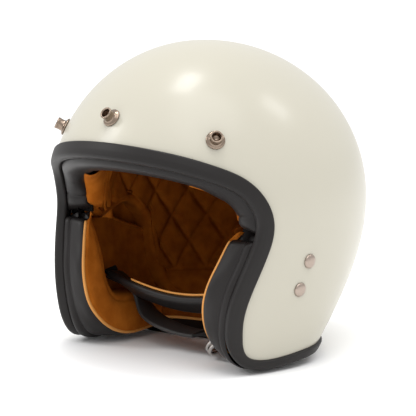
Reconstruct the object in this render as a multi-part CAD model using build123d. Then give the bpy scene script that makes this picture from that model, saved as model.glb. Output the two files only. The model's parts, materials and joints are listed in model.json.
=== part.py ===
from build123d import *
from math import cos, pi, radians, sin, sqrt
import os

os.makedirs("parts", exist_ok=True)

# outside form of the shell: a dome that tucks in below its widest level
half_width = 124.0
front_reach = 130.4
rear_reach = 152.8
centre_y = -13.7
widest_level = 124.3
crown_height = 256.4
tuck_depth = 121.7  # height over which the shell tucks in
side_tuck = 0.152
rear_tuck = 0.66

# layers, measured inwards from the outside of the shell
shell_thickness = 4.0
foam_outside = 6.2
foam_inside = 29.7
liner_outside = 30.2
liner_inside = 36.5
lining_outside = 7.4  # linings tuck in behind the edge trim
lining_inside = 34.0
side_foam_inside = 18.0
ear_panel_inside = 21.5
neck_roll_inside = 31.0
neck_roll_top = 26.5
neck_piping_z = 13.5

# edge trim, a channel pushed over the cut edge of the shell
trim_proud = 2.8
trim_inside = 7.0
trim_grip = 9.6  # how far it covers the shell
trim_lip = 3.3  # how far it stands past the cut edge
trim_gap = 0.1

# cut edge of the shell seen from the side, brow to nape, as (y, z)
edge_points = [
    (-152, 179.5), (-135.2, 172.2), (-117.4, 164.9), (-101.2, 157.1), (-86.7, 148.4),
    (-76.4, 136), (-71.2, 119.6), (-74.5, 101.7), (-81.5, 81.2), (-86, 66), (-88.6, 49.8),
    (-88.1, 35.6), (-84.5, 21), (-76, 9.5), (-63, 4.2), (-48, 3.4), (-24, 5.4), (20, 9.8), (58, 14.5), (92, 18),
]
# lower line of the padded brow lining
brow_points = [
    (-152, 172), (-118, 157.5), (-96, 148.5), (-84.5, 140.5), (-77.5, 131), (-73, 119), (-72.5, 110),
]
# opening for the ear, left clear by the crown foam and its liner
ear_points = [
    (-110, 112), (-74, 112), (-45, 112), (-27, 117), (-16.5, 119), (-6, 116.5), (3, 108.5), (9, 99),
    (12, 88), (13, 70), (15, 48), (22, 34), (40, 29), (110, 28),
]

# cheek pads
pad_face = 68.0  # distance of the inner face from the middle
pad_face_points = [(pad_face, 0), (pad_face, 58), (70.3, 70), (73.3, 88), (74.5, 100), (75.5, 130)]
pad_top = 109.0
pad_rear = -62.0
pad_heel_top = 40.0
pad_heel_rear = 10.0
front_depth = 12.0  # leather front of the pad, along the shell
piping_radius = 1.4
piping_points = [
    (72.5, -79, 100), (71.5, -80.5, 88), (68.5, -86.3, 70), (66.2, -88.3, 55), (66.2, -85.8, 41),
    (66.2, -79, 26), (66.2, -62, 12), (66.2, -46, 7.2), (66.2, -28, 7), (66.2, -8, 9),
]

# fasteners
rivet_head_radius = 5.75
rivet_head_height = 2.4
rivet_shank_radius = 2.4
rivet_spots = [(-26.3, 87.9), (-33.9, 66.0)]
snap_base_radius = 7.5
snap_base_height = 2.0
snap_post_radius = 4.8
snap_post_length = 7.5
snap_bore_radius = 3.1
snap_shank_radius = 2.5
snap_spots = [(0.0, 199.2), (47.6, 185.0), (-47.6, 185.0)]  # bearing from the front, height

# chin strap, hinged where it comes out above the heel of each pad
strap_y = -40.0
strap_z = 57.0
strap_root_x = 84.5
strap_end_x = 84.0
webbing_width = 20.0
webbing_thickness = 1.8
sleeve_width = 22.0
ring_wire_radius = 1.5
ring_half_width = 12.4
ring_arm = 6.5
ring_step = 3.7
ring_bar = (46.0, 20.0)  # x and z of the inner ring's straight bar
ring_slope = 45.0
strap_tilt = 25.0


def reach(z, depth):
    """Half width, front reach and rear reach of the layer at a height."""
    if z >= widest_level:
        s = sqrt(max(0.0, 1 - ((z - widest_level) / (crown_height - depth - widest_level)) ** 2))
        return (half_width - depth) * s, (front_reach - depth) * s, (rear_reach - depth) * s
    w = (widest_level - z) / tuck_depth
    side = half_width * (1 - side_tuck * w * w) - depth
    return side, front_reach - depth, rear_reach * (1 - rear_tuck * w * w) - depth


def half_dome(depth):
    """Left half of the dome, a given depth inside the outside surface."""
    low = [widest_level * i / 8 for i in range(8)]
    high = [widest_level + (crown_height - depth - widest_level) * sin(pi / 2 * i / 14) for i in range(14)]
    rows = []
    for z in low + high:
        side, front, rear = reach(z, depth)
        row = []
        for j in range(19):
            turn = pi * j / 18
            along = -front * cos(turn) if j <= 9 else -rear * cos(turn)
            across = 0 if j in (0, 18) else side * sin(turn)
            row.append(Vector(across, centre_y + along, z))
        rows.append(row)
    rows.append([Vector(0, centre_y, crown_height - depth)] * 19)
    skin = Face.make_surface_from_array_of_points(rows, tol=0.02, min_deg=3, max_deg=5)
    ends = sorted(skin.edges(), key=lambda e: e.center().Z)
    floor_arc = ends[0]
    floor_line = Edge.make_line(floor_arc @ 1, floor_arc @ 0)
    floor = Face(Wire([floor_arc, floor_line]))
    middle = Face(Wire([ends[1], ends[2], floor_line]))
    return Solid(Shell([skin, floor, middle]))


def outside_point(y, z):
    """Point on the left outside of the shell, and its outward direction."""
    side, front, rear = reach(z, 0)
    along = front if y < centre_y else rear
    x = side * sqrt(max(0.0, 1 - ((y - centre_y) / along) ** 2))
    return Vector(x, y, z), outward(x, y, z)


def outward(x, y, z):
    def level(px, py, pz):
        side, front, rear = reach(pz, 0)
        along = front if py < centre_y else rear
        return (px / side) ** 2 + ((py - centre_y) / along) ** 2

    e = 0.01
    return Vector(
        level(x + e, y, z) - level(x - e, y, z),
        level(x, y + e, z) - level(x, y - e, z),
        level(x, y, z + e) - level(x, y, z - e),
    ).normalized()


def moved(points, distance):
    """Points of a side line, moved towards the crown by a distance along the shell."""
    line = Spline(*[(y, z) for y, z in points])
    out = []
    for i in range(41):
        spot = line @ (i / 40)
        way = line % (i / 40)
        slant = 1 - 0.42 * min(1, max(0, (spot.X + 20) / 78)) if spot.Y < 60 else 1
        out.append((spot.X - way.Y * distance * slant, spot.Y + way.X * distance * slant))
    return out


def block(points, far=220.0, start=0.0):
    """Everything on the crown side of a side line, from the middle outwards."""
    line = Spline(*points)
    rim = Polyline(line @ 1, (230, (line @ 1).Y), (230, 320), (-230, 320), (-230, (line @ 0).Y), line @ 0)
    face = Plane.YZ.offset(start) * make_face(line + rim)
    return extrude(face, far)


def slab(points, start=0.0, far=220.0):
    face = Plane.YZ.offset(start) * make_face(Polyline(*points, close=True))
    return extrude(face, far)


def both(half):
    return half + mirror(half, about=Plane.YZ)


def right_of(half):
    return mirror(half, about=Plane.YZ)


def save(shape, name):
    shape.label = name
    export_step(shape, f"parts/{name}.step")
    print(name, shape.is_valid, len(shape.solids()), round(shape.volume / 1000, 2), "cm3")


# outer shell
outside = half_dome(0)
shell_half = outside - half_dome(shell_thickness)
shell_half = shell_half & block(edge_points)

# holes for the rivets and the visor studs
rivet_planes = []
for y, z in rivet_spots:
    spot, way = outside_point(y, z)
    rivet_planes.append(Plane(origin=spot, z_dir=way))
snap_planes = []
for bearing, z in snap_spots:
    side, front, rear = reach(z, 0)
    spot = Vector(side * sin(radians(bearing)), centre_y - front * cos(radians(bearing)), z)
    snap_planes.append(Plane(origin=spot, z_dir=outward(spot.X, spot.Y, spot.Z)))
shell = both(shell_half)
for plane in rivet_planes:
    hole = plane * Cylinder(rivet_shank_radius + 0.1, 16)
    shell = shell - hole - right_of(hole)
for plane in snap_planes:
    shell = shell - plane * Cylinder(snap_shank_radius + 0.1, 16)
save(shell, "outer_shell")

# edge trim
trim_zone = block(moved(edge_points, -trim_lip)) - block(moved(edge_points, trim_grip))
trim_half = (half_dome(-trim_proud) - half_dome(trim_inside)) & trim_zone
grip = (half_dome(-trim_gap) - half_dome(shell_thickness + trim_gap)) & block(moved(edge_points, -trim_gap))
save(both(trim_half - grip), "edge_trim")

# crown foam and the quilted liner inside it, both open round the ears
ear_clear = block(ear_points)
crown_zone = block(moved(edge_points, trim_grip + 1.0)) & ear_clear
foam_shell = half_dome(foam_outside)
crown_foam = (foam_shell - half_dome(foam_inside)) & crown_zone
save(both(crown_foam), "crown_foam")
liner_shell = half_dome(liner_outside)
crown_liner = (liner_shell - half_dome(liner_inside)) & crown_zone
save(both(crown_liner), "quilted_liner")

# padded lining along the brow, down to the top of the cheek pads
behind_trim = half_dome(lining_outside)
brow_zone = block(brow_points) - block(moved(edge_points, trim_grip + 0.7))
brow_zone = brow_zone & slab([(-230, pad_top + 4), (-60, pad_top + 4), (-60, 250), (-230, 250)])
brow_half = (behind_trim - half_dome(lining_inside)) & brow_zone
save(both(brow_half), "brow_lining")

# piping that frames the ear opening on the face of the liner
ear_cord = []
for y, z in ear_points[1:10]:
    side, front, rear = (value - liner_inside - piping_radius - 0.6 for value in reach(z + 3, 0))
    along = front if y < centre_y else rear
    ear_cord.append(Vector(side * sqrt(1 - ((y - centre_y) / along) ** 2), y, z + 3))
ear_line = Spline(*ear_cord)
ear_piping = sweep(Plane(origin=ear_line @ 0, z_dir=ear_line % 0) * Circle(piping_radius), path=ear_line)
save(ear_piping, "ear_piping_left")
save(right_of(ear_piping), "ear_piping_right")

# anchor plates inside the shell, under each pair of rivets
upper, lower = rivet_planes
middle_spot = (upper.origin + lower.origin) * 0.5
middle_way = (upper.z_dir + lower.z_dir).normalized()
along_pair = (upper.origin - lower.origin).normalized()
plate_plane = Plane(origin=middle_spot - middle_way * 5.9, x_dir=along_pair, z_dir=middle_way)
plate = plate_plane * Box(38, 17, 1.8)
plate_pocket = plate_plane * Box(40, 22.5, 5)
for plane in rivet_planes:
    plate = plate - plane * Cylinder(rivet_shank_radius + 0.1, 24)

# webbing roots, from the anchor plates to where the strap comes out
root_start = plate_plane.origin - plate_plane.z_dir * 2.2 - along_pair * 2
root_end = Vector(strap_root_x, strap_y, strap_z)
root_way = (root_end - root_start).normalized()
root_plane = Plane(origin=(root_start + root_end) * 0.5, x_dir=root_way, z_dir=root_way.cross(Vector(0, 1, 0)).normalized())
root_length = (root_end - root_start).length
root = root_plane * Box(root_length, webbing_width, webbing_thickness)
root = (root & Pos(strap_root_x + 50, 0, 60) * Box(100, 400, 200)) - plate_plane * Box(40, 22.5, 2.6)
root = max(root.solids(), key=lambda solid: solid.volume)
root_slot = root_plane * Box(root_length + 30, webbing_width + 2, webbing_thickness + 2)

# foam beside the ear and the suede panel over it
side_zone = block(moved(edge_points, front_depth + 1.0)) & slab([(-230, 14), (12, 14), (12, 250), (-230, 250)])
side_zone = side_zone - block([(y, z - 1) for y, z in ear_points])
side_foam = (foam_shell - half_dome(side_foam_inside)) & side_zone
side_foam = side_foam - plate_pocket - root_slot
ear_zone = side_zone & slab([(-58, 44), (11, 44), (11, 250), (-58, 250)])
ear_panel = (half_dome(side_foam_inside + 0.2) - half_dome(ear_panel_inside)) & ear_zone
ear_panel = ear_panel - root_slot

# cheek pads: leather front, suede body with a heel under the ear, piping between them
face_line = Polyline(*pad_face_points, (200, 130), (200, -5), (pad_face, -5))
inner_side = extrude(Plane.XZ * make_face(face_line + Line((pad_face, -5), pad_face_points[0])), 250, both=True)
front_zone = block(moved(edge_points, -1.5)) - block(moved(edge_points, front_depth))
front_zone = front_zone & slab([(-230, 0), (-66, 0), (-66, pad_top), (-230, pad_top)])
pad_front = behind_trim & inner_side & front_zone
pad_outline = slab([
    (-230, 0.6), (pad_heel_rear, 0.6), (pad_heel_rear, pad_heel_top), (pad_rear + 6, pad_heel_top),
    (pad_rear, pad_heel_top + 6), (pad_rear, 92), (pad_rear - 4, pad_top), (-230, pad_top),
])
pad_zone = pad_outline & block(moved(edge_points, front_depth + 0.2))
pad_body = (half_dome(side_foam_inside + 0.2) & inner_side & pad_zone)
pad_body = pad_body - root_slot
cord_line = Spline(*piping_points)
piping = sweep(Plane(origin=cord_line @ 0, z_dir=cord_line % 0) * Circle(piping_radius), path=cord_line)

for side_name, turn in (("left", lambda half: half), ("right", right_of)):
    save(turn(side_foam), f"side_foam_{side_name}")
    save(turn(ear_panel), f"ear_panel_{side_name}")
    save(turn(pad_front), f"cheek_front_{side_name}")
    save(turn(pad_body), f"cheek_pad_{side_name}")
    save(turn(piping), f"cheek_piping_{side_name}")
    save(turn(plate), f"anchor_plate_{side_name}")
    save(turn(root), f"strap_root_{side_name}")

# neck roll round the nape, standing on the table
roll_zone = slab([(pad_heel_rear + 2.5, 0), (230, 0), (230, neck_roll_top), (pad_heel_rear + 2.5, neck_roll_top)])
roll_half = (behind_trim - half_dome(neck_roll_inside)) & roll_zone
save(both(roll_half), "neck_roll")
side, front, rear = (value - neck_roll_inside for value in reach(neck_piping_z, 0))
side, rear = side - 1.8, rear - 3.0  # the roll leans inwards towards the nape
turns = [radians(-52 + 104 * i / 12) for i in range(13)]
nape_line = Spline(*[(side * sin(t), centre_y + rear * cos(t), neck_piping_z) for t in turns])
save(sweep(Plane(origin=nape_line @ 0, z_dir=nape_line % 0) * Circle(piping_radius), path=nape_line), "neck_piping")

# rivets, in through the shell to the anchor plate
rivets = []
for plane in rivet_planes:
    head = plane * Pos(0, 0, 0.25 + rivet_head_height / 2) * Cylinder(rivet_head_radius, rivet_head_height)
    head = fillet(head.edges().group_by(SortBy.LENGTH)[-1].sort_by_distance(plane.origin + plane.z_dir * 9)[0], 1.4)
    shank = plane * Pos(0, 0, -3.2) * Cylinder(rivet_shank_radius, 7.6)
    rivets += [head + shank, right_of(head + shank)]
save(Compound(rivets), "shell_rivets")

# visor studs and the washers that hold them from inside
studs, washers = [], []
for plane in snap_planes:
    base = plane * Pos(0, 0, 0.3 + snap_base_height / 2) * Cylinder(snap_base_radius, snap_base_height)
    post = plane * Pos(0, 0, 1.3 + snap_post_length / 2) * Cylinder(snap_post_radius, snap_post_length)
    shank = plane * Pos(0, 0, -2.4) * Cylinder(snap_shank_radius, 6.8)
    bore = plane * Pos(0, 0, 3.3 + snap_post_length / 2) * Cylinder(snap_bore_radius, snap_post_length)
    studs.append(base + post + shank - bore)
    washers.append(plane * Pos(0, 0, -5.2) * (Cylinder(6, 0.9) - Cylinder(snap_shank_radius + 0.1, 3)))
save(Compound(studs), "visor_studs")
save(Compound(washers), "stud_washers")


# chin strap
def band(points, width, thickness, tilt=0.0):
    """Flat band along a line through (x, z) points, at the strap's depth."""
    line = Spline(*[(x, strap_y, z) for x, z in points])
    start = Plane(origin=line @ 0, x_dir=(0, 1, 0), z_dir=line % 0)
    return sweep(start * Rot(0, 0, tilt) * Rectangle(width, thickness), path=line)


chin_line = [(-66, 52.6), (-40, 46.5), (-12, 43), (12, 43), (40, 46.5), (66, 52.6)]
sleeve = band([(x, z - 1.2) for x, z in chin_line], sleeve_width, 7.0)
facing = band([(x, z + 3.3) for x, z in chin_line], sleeve_width + 1, 1.6)
save(sleeve, "chin_sleeve")
save(facing, "chin_facing")
chin_webbing = band([(66.2, 52), (75, 55.4), (strap_end_x, 58.2)], webbing_width, webbing_thickness)
save(chin_webbing, "chin_webbing_left")
save(right_of(chin_webbing), "chin_webbing_right")

# right strap: webbing, a leather covered length, then webbing through the rings
throat_line = [(-60, 38.5), (-50, 31), (-40, 24.8), (-25, 19), (-10, 16), (4, 15.2), (14, 15.8)]
save(band(throat_line, webbing_width + 1, 3.0, strap_tilt), "throat_strap")
right_line = [(-strap_end_x, 55.8), (-75, 50.2), (-67, 44), (-60.5, 38.9)]
save(band(right_line, webbing_width, webbing_thickness), "strap_webbing_right")
ring_way = Vector(-cos(radians(ring_slope)), 0, -sin(radians(ring_slope)))
ring_side = Vector(sin(radians(ring_slope)), 0, -cos(radians(ring_slope)))
bar_spot = Vector(ring_bar[0], strap_y, ring_bar[1])
through = bar_spot + ring_way * ring_arm
beyond = through + ring_side * ring_step
tail_line = [
    (14.4, 15.9), (24, 18.4), (33.5, 19.4), (through.X, through.Z), (beyond.X, beyond.Z), (50, 7.6), (59, 5.2),
]
save(band(tail_line, webbing_width - 1, webbing_thickness), "strap_tail")

# left strap: webbing down to a loop that carries both rings
loop_plane = Plane(origin=bar_spot + ring_side * (ring_step / 2), x_dir=ring_side, z_dir=(0, 1, 0))
loop_bore = ring_wire_radius + 0.45
outer_loop = loop_plane * SlotCenterToCenter(ring_step, 2 * (loop_bore + 1.6))
inner_loop = loop_plane * SlotCenterToCenter(ring_step, 2 * loop_bore)
loop = extrude(outer_loop - inner_loop, webbing_width / 2, both=True)
loop_top = loop_plane.origin - ring_way * (loop_bore + 0.8)
left_line = [(strap_end_x, 55.8), (72, 50.2), (62, 39), (55, 28.5), (loop_top.X, loop_top.Z)]
save(band(left_line, webbing_width, webbing_thickness) + loop, "strap_webbing_left")

# the two rings
for step, name in ((0.0, "d_ring_inner"), (ring_step, "d_ring_outer")):
    plane = Plane(origin=bar_spot + ring_side * step, x_dir=ring_way, z_dir=ring_side)
    w, c, a = ring_half_width, 2.2, ring_arm
    outline = [
        Line((0, c - w), (0, w - c)), RadiusArc((0, w - c), (c, w), c), Line((c, w), (a, w)),
        RadiusArc((a, w), (a, -w), w), Line((a, -w), (c, -w)), RadiusArc((c, -w), (0, c - w), c),
    ]
    wire = plane * Wire(outline)
    save(sweep(Plane(origin=wire @ 0, z_dir=wire % 0) * Circle(ring_wire_radius), path=wire), name)
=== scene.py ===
import json
import math
import bpy
import numpy as np
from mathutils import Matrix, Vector

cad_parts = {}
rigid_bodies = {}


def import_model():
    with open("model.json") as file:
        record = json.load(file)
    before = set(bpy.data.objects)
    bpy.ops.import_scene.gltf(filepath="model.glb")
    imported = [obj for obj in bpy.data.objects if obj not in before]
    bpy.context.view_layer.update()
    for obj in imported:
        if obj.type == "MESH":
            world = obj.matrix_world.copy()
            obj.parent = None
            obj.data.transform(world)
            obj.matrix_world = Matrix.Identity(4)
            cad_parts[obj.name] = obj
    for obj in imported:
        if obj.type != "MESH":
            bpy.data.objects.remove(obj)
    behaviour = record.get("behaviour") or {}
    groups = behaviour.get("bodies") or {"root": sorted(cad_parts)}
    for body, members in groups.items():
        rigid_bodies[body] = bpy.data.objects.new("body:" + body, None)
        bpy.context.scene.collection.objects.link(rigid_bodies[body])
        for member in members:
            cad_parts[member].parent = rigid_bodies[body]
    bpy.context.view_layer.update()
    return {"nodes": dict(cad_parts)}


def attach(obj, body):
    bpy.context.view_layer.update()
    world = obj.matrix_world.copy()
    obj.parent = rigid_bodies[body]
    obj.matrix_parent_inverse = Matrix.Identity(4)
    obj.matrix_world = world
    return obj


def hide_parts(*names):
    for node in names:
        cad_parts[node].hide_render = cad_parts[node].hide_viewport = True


for leftover in list(bpy.data.objects):
    bpy.data.objects.remove(leftover)
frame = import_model()
mm = 0.001  # sizes are in millimetres, apart from the lights and the camera
bothSides = ((1, "Left"), (-1, "Right"))

# the dome that every layer follows, tucked in below its widest level
dome = {"halfWidth": 124.0, "front": 130.4, "rear": 152.8, "centreY": -13.7, "widest": 124.3,
        "crown": 256.4, "tuckDepth": 121.7, "sideTuck": 0.152, "rearTuck": 0.66}

# cut edge of the shell from the side, brow to nape, as (y, z)
edgePoints = [(-152, 179.5), (-135.2, 172.2), (-117.4, 164.9), (-101.2, 157.1), (-86.7, 148.4),
              (-76.4, 136), (-71.2, 119.6), (-74.5, 101.7), (-81.5, 81.2), (-86, 66), (-88.6, 49.8),
              (-88.1, 35.6), (-84.5, 21), (-76, 9.5), (-63, 4.2), (-48, 3.4), (-24, 5.4), (20, 9.8),
              (58, 14.5), (92, 18)]


def unit(v):
    # each vector over its own length
    return v / np.maximum(np.linalg.norm(v, axis=-1, keepdims=True), 1e-12)


def smooth(t):
    # three t squared less two t cubed, flat at both ends
    t = np.clip(t, 0, 1)
    return t * t * (3 - 2 * t)


def quarterRound(t):
    # a quarter circle: the root of one less (1 - t) squared
    t = np.clip(t, 0, 1)
    return np.sqrt(np.clip(1 - (1 - t) ** 2, 0, 1))


def lengthAlong(p):
    # running sum of the distances between points
    return np.concatenate([[0], np.cumsum(np.linalg.norm(np.diff(p, axis=0), axis=1))])


def resample(p, count):
    # the same line in equal steps, each coordinate interpolated along the length
    d = lengthAlong(p)
    t = np.linspace(0, d[-1], count)
    return np.stack([np.interp(t, d, p[:, k]) for k in range(p.shape[1])], -1)


def spline(points, count):
    # natural cubic spline: cubics between points, with equal slopes and bends where they meet
    p = np.asarray(points, float)
    d = lengthAlong(p)
    n = len(p)
    h = np.diff(d)
    a = np.eye(n)
    r = np.zeros_like(p)
    for i in range(1, n - 1):
        a[i, i - 1:i + 2] = h[i - 1], 2 * (h[i - 1] + h[i]), h[i]
        r[i] = 6 * ((p[i + 1] - p[i]) / h[i] - (p[i] - p[i - 1]) / h[i - 1])
    m = np.linalg.solve(a, r)
    t = np.linspace(0, d[-1], count)
    k = np.clip(np.searchsorted(d, t, side="right") - 1, 0, n - 2)
    u = (t - d[k])[:, None]
    hk = h[k][:, None]
    slope = (p[k + 1] - p[k]) / hk - hk * (2 * m[k] + m[k + 1]) / 6
    return p[k] + slope * u + m[k] / 2 * u ** 2 + (m[k + 1] - m[k]) / (6 * hk) * u ** 3


def reach(z, depth=0.0):
    # half width, front and rear at height z: the dome's size less depth, narrowed above the widest level
    # by the root of one less rise squared, and below it by tuck times drop squared
    z = np.asarray(z, float)
    top = dome["crown"] - depth - dome["widest"]
    s = np.sqrt(np.clip(1 - (np.clip(z - dome["widest"], 0, None) / top) ** 2, 0, 1))
    w = np.clip((dome["widest"] - z) / dome["tuckDepth"], 0, 1.2)
    side = (dome["halfWidth"] * (1 - dome["sideTuck"] * w * w) - depth) * s
    front = (dome["front"] - depth) * s
    rear = (dome["rear"] * (1 - dome["rearTuck"] * w * w) - depth) * s
    return side, front, rear


def domeLevel(p, depth=0.0):
    # x over half width, squared, plus y over reach, squared: one on the layer and less inside it
    side, front, rear = reach(p[..., 2], depth)
    dy = p[..., 1] - dome["centreY"]
    along = np.where(dy < 0, front, rear)
    return (p[..., 0] / np.maximum(side, 1e-3)) ** 2 + (dy / np.maximum(along, 1e-3)) ** 2


def outward(p, depth=0.0):
    # slope of domeLevel along x, y and z, made one long
    step = 0.05
    q = p.copy()
    q[..., 2] = np.minimum(q[..., 2], dome["crown"] - depth - 0.4)
    g = [domeLevel(q + way * step, depth) - domeLevel(q - way * step, depth) for way in np.eye(3)]
    return unit(np.stack(g, -1))


def sideX(y, z, depth=0.0):
    # x of the layer at (y, z): half width times the root of one less (y over reach) squared
    side, front, rear = reach(z, depth)
    dy = np.asarray(y, float) - dome["centreY"]
    along = np.where(dy < 0, front, rear)
    return side * np.sqrt(np.clip(1 - (dy / along) ** 2, 0, 1))


def gridFaces(rows, cols, closeRows=False, closeCols=False):
    # quads between neighbouring rows and columns, the last joined to the first where closed
    rowCount = rows if closeRows else rows - 1
    colCount = cols if closeCols else cols - 1
    i, j = np.meshgrid(np.arange(rowCount), np.arange(colCount), indexing="ij")
    i2 = (i + 1) % rows
    j2 = (j + 1) % cols
    return np.stack([i * cols + j, i * cols + j2, i2 * cols + j2, i2 * cols + j], -1).reshape(-1, 4)


def fanFaces(start, count, hub):
    # triangles from a closed ring of points to one hub
    return [(start + k, start + (k + 1) % count, hub) for k in range(count)]


def makeMesh(name, points, faces, body, material, uv=None, flip=False):
    # one smooth object in metres, riding on its body
    mesh = bpy.data.meshes.new(name)
    order = -1 if flip else 1
    faces = [[int(i) for i in face][::order] for face in faces]
    mesh.from_pydata((np.asarray(points, float).reshape(-1, 3) * mm).tolist(), [], faces)
    mesh.validate()
    mesh.polygons.foreach_set("use_smooth", np.ones(len(mesh.polygons), bool))
    if uv is not None:
        layer = mesh.uv_layers.new(name="pattern")
        loops = np.zeros(len(mesh.loops), np.int32)
        mesh.loops.foreach_get("vertex_index", loops)
        layer.data.foreach_set("uv", np.asarray(uv, np.float32).reshape(-1, 2)[loops].ravel())
    obj = bpy.data.objects.new(name, mesh)
    bpy.context.scene.collection.objects.link(obj)
    mesh.materials.append(material)
    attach(obj, body)
    return obj


def grid(name, points, body, material, closeRows=False, closeCols=False, uv=None, flip=False):
    # a surface from points in rows and columns
    rows, cols = points.shape[:2]
    return makeMesh(name, points, gridFaces(rows, cols, closeRows, closeCols), body, material, uv, flip)


def crossWays(path, up):
    # up made square to the path's tangent, and the cross product of the two
    t = unit(np.gradient(path, axis=0))
    up = np.broadcast_to(np.asarray(up, float), path.shape)
    a = unit(up - (up * t).sum(-1, keepdims=True) * t)
    return a, unit(np.cross(t, a))


def endCaps(length, count):
    # the first ring turned round and the last ring, as two faces
    last = (length - 1) * count
    return [list(range(count))[::-1], list(range(last, last + count))]


def tube(name, path, radius, body, material, sides=14):
    # a circle of one radius carried along a path: cosine times one cross way, sine times the other
    a, b = crossWays(path, (0.3, 0.2, 1))
    turn = np.linspace(0, 2 * math.pi, sides, endpoint=False)
    ring = np.cos(turn)[None, :, None] * a[:, None] + np.sin(turn)[None, :, None] * b[:, None]
    faces = gridFaces(len(path), sides, False, True).tolist() + endCaps(len(path), sides)
    return makeMesh(name, path[:, None] + ring * radius, faces, body, material)


def ribbon(name, path, width, thickness, body, material, tilt=None, edge=0.4, across=14, crown=0.0):
    # flat band carried along a path: width lies along y, turned by tilt, the thickness falls to nothing
    # as a quarter circle at each edge, and the upper face bulges by crown times one less u squared
    path = np.asarray(path, float)
    tilt = np.zeros(len(path)) if tilt is None else np.asarray(tilt, float)
    w, n = crossWays(path, (0, 1, 0))
    n = n * np.sign(n[:, 2].mean())
    c = np.cos(tilt)[:, None]
    s = np.sin(tilt)[:, None]
    w, n = w * c + n * s, n * c - w * s
    u = np.linspace(-1, 1, across)
    u = np.sign(u) * np.abs(u) ** 0.85
    profile = quarterRound((1 - np.abs(u)) / edge)
    upper = np.stack([u, profile], -1)
    lower = np.stack([u[::-1][1:-1], -profile[::-1][1:-1]], -1)
    section = np.concatenate([upper, lower])
    count = len(section)
    bulge = np.concatenate([crown * (1 - u ** 2), np.zeros(len(lower))])
    points = (path[:, None] + w[:, None] * (section[:, 0] * width / 2)[None, :, None]
              + n[:, None] * (section[:, 1] * thickness / 2 + bulge)[None, :, None])
    faces = gridFaces(len(path), count, False, True).tolist() + endCaps(len(path), count)
    around = lengthAlong(section * [width / 2, thickness / 2])
    uv = np.stack(np.broadcast_arrays(lengthAlong(path)[:, None], around[None]), -1) * mm
    return makeMesh(name, points, faces, body, material, uv)


def lathe(name, profile, spot, way, body, material, sides=48):
    # (radius, height) turned about way: radius times the turned cross way, plus height times way
    way = unit(np.asarray(way, float))
    a = unit(np.cross(way, (0.2, 0.1, 1.0)))
    b = np.cross(way, a)
    turn = np.linspace(0, 2 * math.pi, sides, endpoint=False)
    ring = np.cos(turn)[:, None] * a + np.sin(turn)[:, None] * b
    profile = np.asarray(profile, float)
    points = np.asarray(spot) + profile[:, None, :1] * ring[None] + profile[:, None, 1:] * way
    return makeMesh(name, points, gridFaces(len(profile), sides, False, True), body, material)


def srgb(code):
    # hex sRGB to linear: the display curve undone for each channel
    value = [int(code[i:i + 2], 16) / 255 for i in (1, 3, 5)]
    return tuple([c / 12.92 if c <= 0.04045 else ((c + 0.055) / 1.055) ** 2.4 for c in value] + [1.0])


def addNode(tree, kind, values=None, **settings):
    # one node, with its settings and its socket values
    node = tree.nodes.new(kind)
    for key, value in settings.items():
        setattr(node, key, value)
    for key, value in (values or {}).items():
        node.inputs[key].default_value = value
    return node


def finish(name, colour, roughness, metallic=0.0, coat=0.0, coatRoughness=0.1, sheen=0.0, sheenTint=None,
           specular=0.5):
    # a material whose even values sit on the shader's own sockets
    material = bpy.data.materials.new(name)
    material.use_nodes = True
    shader = material.node_tree.nodes["Principled BSDF"]
    shader.inputs["Base Color"].default_value = srgb(colour)
    shader.inputs["Roughness"].default_value = roughness
    shader.inputs["Metallic"].default_value = metallic
    shader.inputs["Coat Weight"].default_value = coat
    shader.inputs["Coat Roughness"].default_value = coatRoughness
    shader.inputs["Sheen Weight"].default_value = sheen
    shader.inputs["Specular IOR Level"].default_value = specular
    if sheenTint:
        shader.inputs["Sheen Tint"].default_value = srgb(sheenTint)
    material.diffuse_color = srgb(colour)
    return material


def addBump(tree, height, amount):
    # bump of a real height into the shader's normal
    bump = addNode(tree, "ShaderNodeBump", {"Strength": 1.0, "Distance": amount * mm})
    tree.links.new(height, bump.inputs["Height"])
    tree.links.new(bump.outputs["Normal"], tree.nodes["Principled BSDF"].inputs["Normal"])


def grain(material, size, height, pebbled=False):
    # fine bump with features of a real size: noise, or cells with grooves between them where pebbled
    tree = material.node_tree
    coord = addNode(tree, "ShaderNodeTexCoord")
    scale = 1 / (size * mm)
    if pebbled:
        texture = addNode(tree, "ShaderNodeTexVoronoi", {"Scale": scale}, feature="DISTANCE_TO_EDGE")
    else:
        texture = addNode(tree, "ShaderNodeTexNoise", {"Scale": scale, "Detail": 4.0, "Roughness": 0.6})
    tree.links.new(coord.outputs["Object"], texture.inputs["Vector"])
    addBump(tree, texture.outputs["Distance" if pebbled else "Fac"], height)
    return material


def mottle(material, darkTone, lightTone, size):
    # cloudy colour between two tones
    tree = material.node_tree
    coord = addNode(tree, "ShaderNodeTexCoord")
    scale = 1 / (size * mm)
    texture = addNode(tree, "ShaderNodeTexNoise", {"Scale": scale, "Detail": 3.0, "Roughness": 0.55})
    ramp = addNode(tree, "ShaderNodeValToRGB")
    for stop, place, tone in zip(ramp.color_ramp.elements, (0.35, 0.65), (darkTone, lightTone)):
        stop.position = place
        stop.color = srgb(tone)
    tree.links.new(coord.outputs["Object"], texture.inputs["Vector"])
    tree.links.new(texture.outputs["Fac"], ramp.inputs["Fac"])
    tree.links.new(ramp.outputs["Color"], tree.nodes["Principled BSDF"].inputs["Base Color"])
    return material


def woven(material, pitch, height):
    # ribs across the band, one for each pitch of its own length
    tree = material.node_tree
    coord = addNode(tree, "ShaderNodeTexCoord")
    scale = 0.31 / (pitch * mm)  # the wave texture repeats every 0.31 over its scale
    ribs = addNode(tree, "ShaderNodeTexWave", {"Scale": scale, "Distortion": 0.6, "Detail": 1.0},
                   wave_type="BANDS", bands_direction="X")
    tree.links.new(coord.outputs["UV"], ribs.inputs["Vector"])
    addBump(tree, ribs.outputs["Fac"], height)
    return material


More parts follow.
